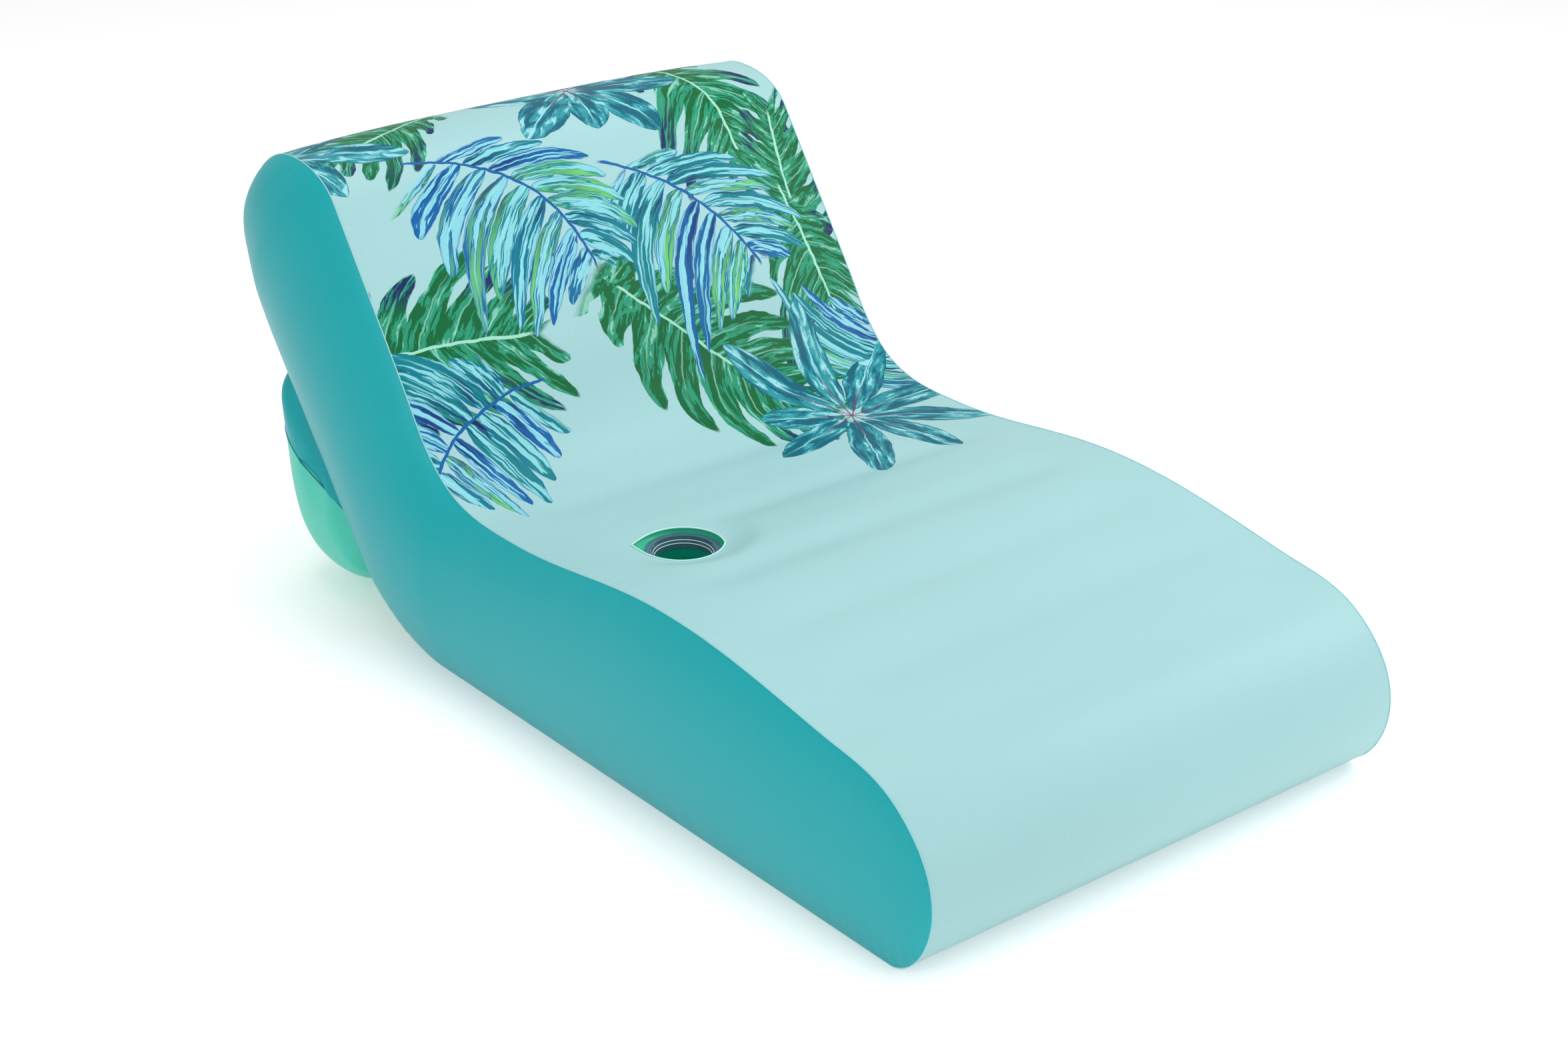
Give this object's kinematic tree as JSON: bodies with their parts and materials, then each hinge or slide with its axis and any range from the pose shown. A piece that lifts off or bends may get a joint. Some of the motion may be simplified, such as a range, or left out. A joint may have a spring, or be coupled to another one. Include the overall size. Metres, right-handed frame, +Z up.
{
  "type": "inflatable pool float",
  "caption": "Inflatable pool lounge float with a reclined backrest, bulging side panels, a rear bolster, a drink holder and valves with plugs and a screw cap.",
  "frame": {"origin": "on the flat underside, on the middle plane and half way along the float", "axes": "+X to the float's side with the valves, -Y to the nose, +Y to the backrest, +Z up"},
  "size_m": [1.0843, 1.78, 0.793],
  "materials": {
    "printed_sheet": "satin soft vinyl, pale mint with a tropical leaf print on the backrest",
    "pale_sheet": "satin soft vinyl, pale mint",
    "teal_sheet": "satin soft vinyl, teal",
    "green_sheet": "satin soft vinyl, sea green",
    "clear_ring": "clear, slightly blue soft vinyl, glossy",
    "valve_plastic": "milky translucent soft plastic",
    "valve_flap": "thin clear flap"
  },
  "bodies": {
    "float_body": {"top_sheet": "printed_sheet", "bottom_sheet": "pale_sheet", "back_sheet": "green_sheet", "side_panel_left": "teal_sheet", "side_panel_right": "teal_sheet", "seat_web_1": "pale_sheet", "seat_web_2": "pale_sheet", "seat_web_3": "pale_sheet", "seat_web_4": "pale_sheet", "seat_web_5": "pale_sheet", "seat_web_6": "pale_sheet", "bulkhead": "pale_sheet", "back_web_1": "pale_sheet", "back_web_2": "pale_sheet", "back_web_3": "pale_sheet", "bolster_skin": "green_sheet", "bolster_end_left": "teal_sheet", "bolster_end_right": "teal_sheet", "bolster_web_1": "green_sheet", "bolster_web_2": "green_sheet", "drink_collar": "green_sheet", "drink_ring": "clear_ring", "drink_well": "green_sheet", "drink_floor": "green_sheet", "seat_valve_base": "valve_plastic", "seat_valve_insert": "valve_plastic", "back_valve_base": "valve_plastic", "bolster_valve_base": "valve_plastic"},
    "seat_flap": {"seat_valve_flap": "valve_flap"},
    "cap_ring": {"seat_valve_ring": "valve_plastic"},
    "cap": {"seat_valve_cap": "valve_plastic"},
    "back_flap": {"back_valve_flap": "valve_flap"},
    "back_plug": {"back_valve_plug": "valve_plastic", "back_valve_strap": "valve_plastic"},
    "bolster_flap": {"bolster_valve_flap": "valve_flap"},
    "bolster_plug": {"bolster_valve_plug": "valve_plastic", "bolster_valve_strap": "valve_plastic"}
  },
  "joints": [
    {"name": "cap_lift", "type": "slide", "parent": "float_body", "child": "cap_ring", "axis": [1, 0, 0], "range_m": [0, 0.0091]},
    {"name": "cap_turn", "type": "hinge", "parent": "cap_ring", "child": "cap", "pos_m": [0.51837, -0.28, 0.1725], "axis": [1, 0, 0], "range_deg": [0, 1080]},
    {"name": "seat_flap_swing", "type": "hinge", "parent": "float_body", "child": "seat_flap", "pos_m": [0.51807, -0.28, 0.1813], "axis": [0, 1, 0], "range_deg": [0, 50], "stiffness_Nm_per_rad": 0.0002},
    {"name": "back_plug_pull", "type": "slide", "parent": "float_body", "child": "back_plug", "axis": [1, 0, 0], "range_m": [0, 0.009]},
    {"name": "back_flap_swing", "type": "hinge", "parent": "float_body", "child": "back_flap", "pos_m": [0.5306, 0.59754, 0.44285], "axis": [0, 1, 0], "range_deg": [0, 50], "stiffness_Nm_per_rad": 0.0002},
    {"name": "bolster_plug_pull", "type": "slide", "parent": "float_body", "child": "bolster_plug", "axis": [0, 1, 0], "range_m": [0, 0.009]},
    {"name": "bolster_flap_swing", "type": "hinge", "parent": "float_body", "child": "bolster_flap", "pos_m": [0.25, 0.85877, 0.21557], "axis": [-1, 0, 0], "range_deg": [0, 50], "stiffness_Nm_per_rad": 0.0002}
  ],
  "couplings": [
    {"joint": "cap_lift", "follows": "cap_turn", "m_per_rad": 0.00047746}
  ]
}
